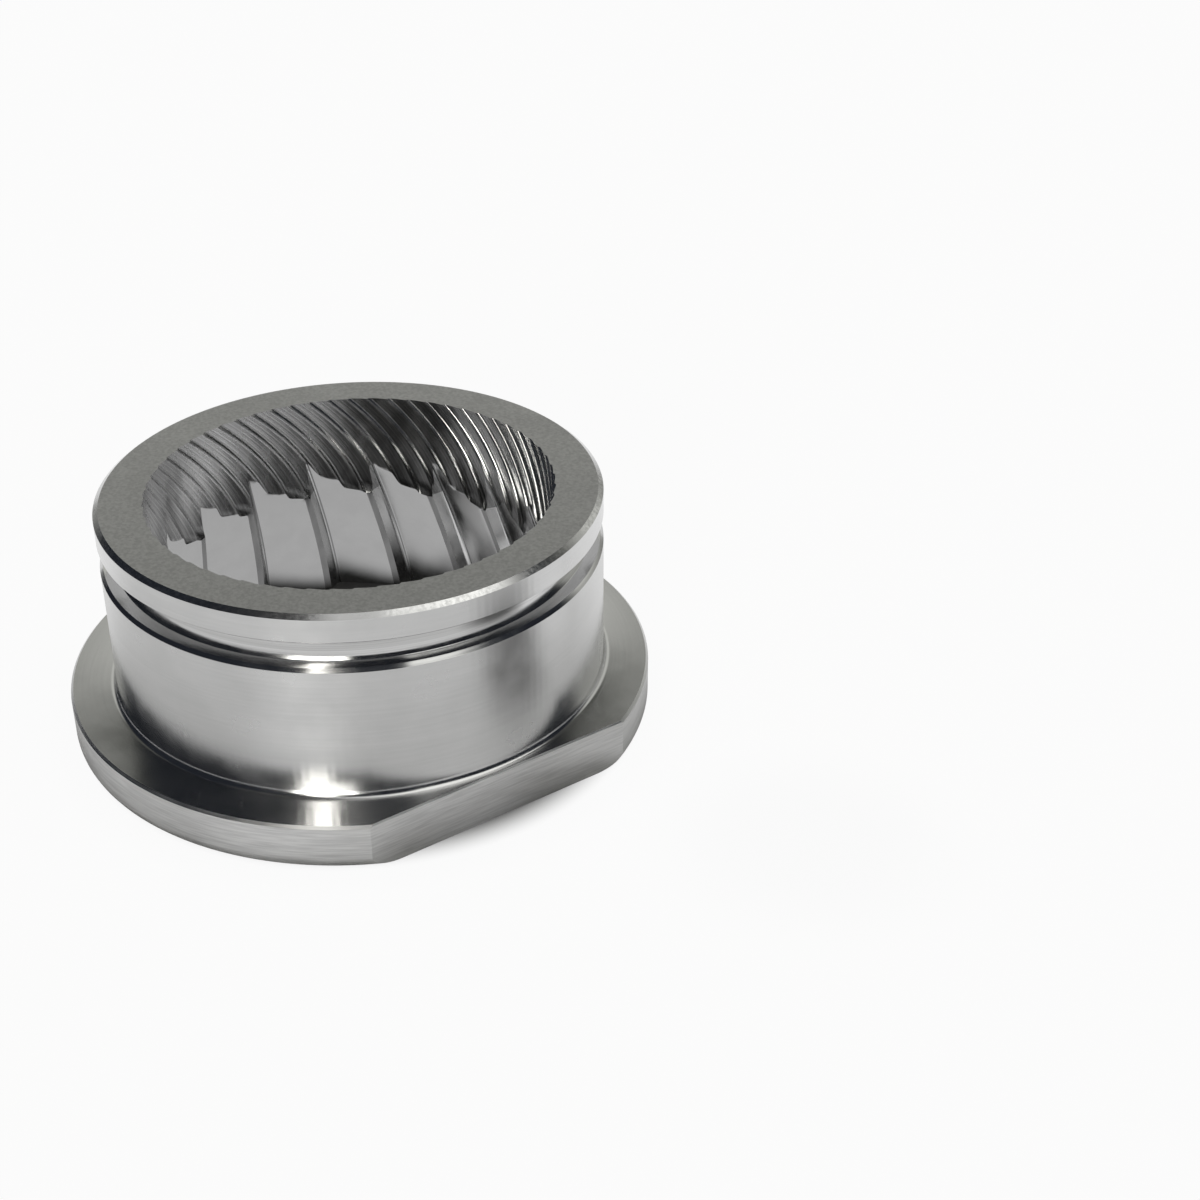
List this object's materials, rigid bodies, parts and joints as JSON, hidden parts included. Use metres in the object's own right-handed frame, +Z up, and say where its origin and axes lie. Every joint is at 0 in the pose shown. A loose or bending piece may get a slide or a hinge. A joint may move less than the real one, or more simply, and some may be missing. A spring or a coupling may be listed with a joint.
{
  "type": "coffee grinder ring burr",
  "caption": "Flanged steel ring burr for a conical coffee grinder, with fine helical teeth above coarse blades in its bore, a groove round its body and one flat on its flange.",
  "frame": {"origin": "on the ring's axis, in the plane of the flange's underside", "axes": "+Z up along the ring's axis, from the flange to the mouth with the fine teeth; +X square to the flat on the flange"},
  "size_m": [0.0669, 0.0714, 0.0298],
  "materials": {
    "hardened_steel": "turned and ground, satin"
  },
  "bodies": {
    "root": {"ring_burr": "hardened_steel"}
  },
  "joints": []
}
